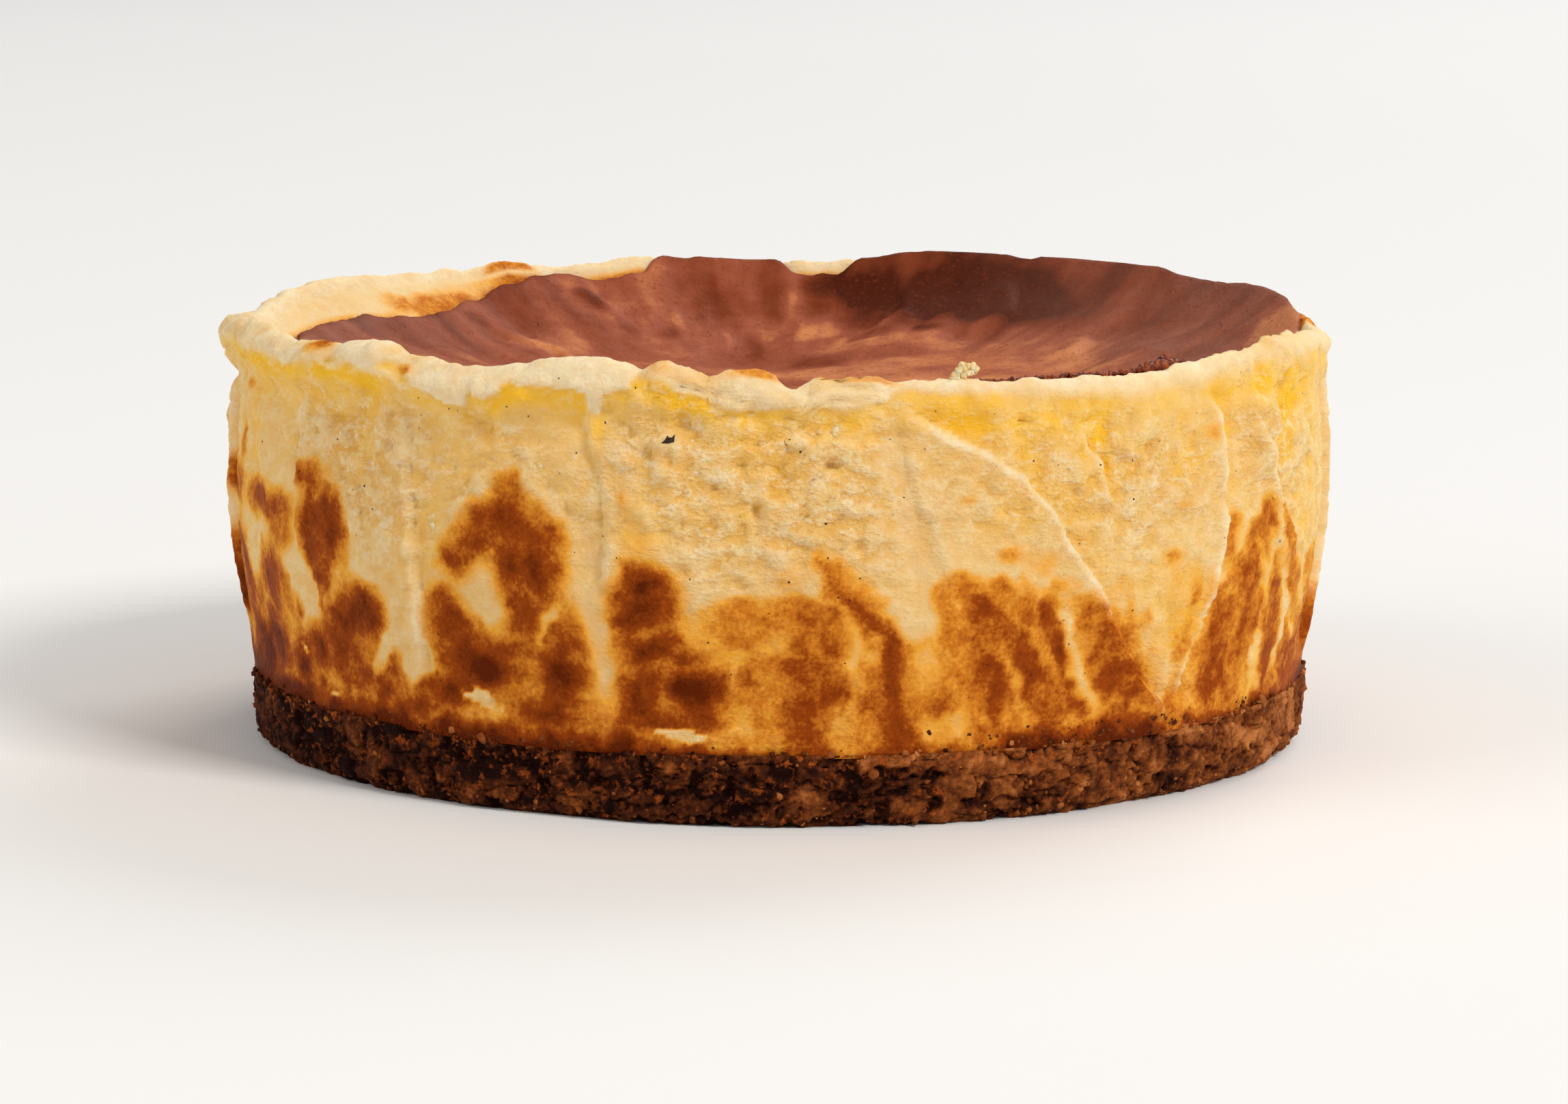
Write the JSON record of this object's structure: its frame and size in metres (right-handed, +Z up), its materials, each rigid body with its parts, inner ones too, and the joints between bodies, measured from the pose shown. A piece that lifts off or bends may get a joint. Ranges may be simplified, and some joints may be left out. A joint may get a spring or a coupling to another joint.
{
  "type": "baked cheesecake",
  "caption": "Whole baked cheesecake: a tall cheese filling with a sunken browned top, a wavy rim and a folded side, on a thin crumb base.",
  "frame": {"origin": "middle of the flat bottom, on the surface that the cake stands on", "axes": "+Z up through the middle of the cake, -Y towards its front, +X to the right as seen from the front"},
  "size_m": [0.1561, 0.1554, 0.0609],
  "materials": {
    "baked_cheese": "soft baked cheese, cream to pale yellow with browned patches low on the side and a satin brown skin on the top",
    "biscuit_crumb": "coarse pressed biscuit crumb, dark brown and matt"
  },
  "bodies": {
    "root": {"cheese_filling": "baked_cheese", "biscuit_base": "biscuit_crumb"}
  },
  "joints": []
}
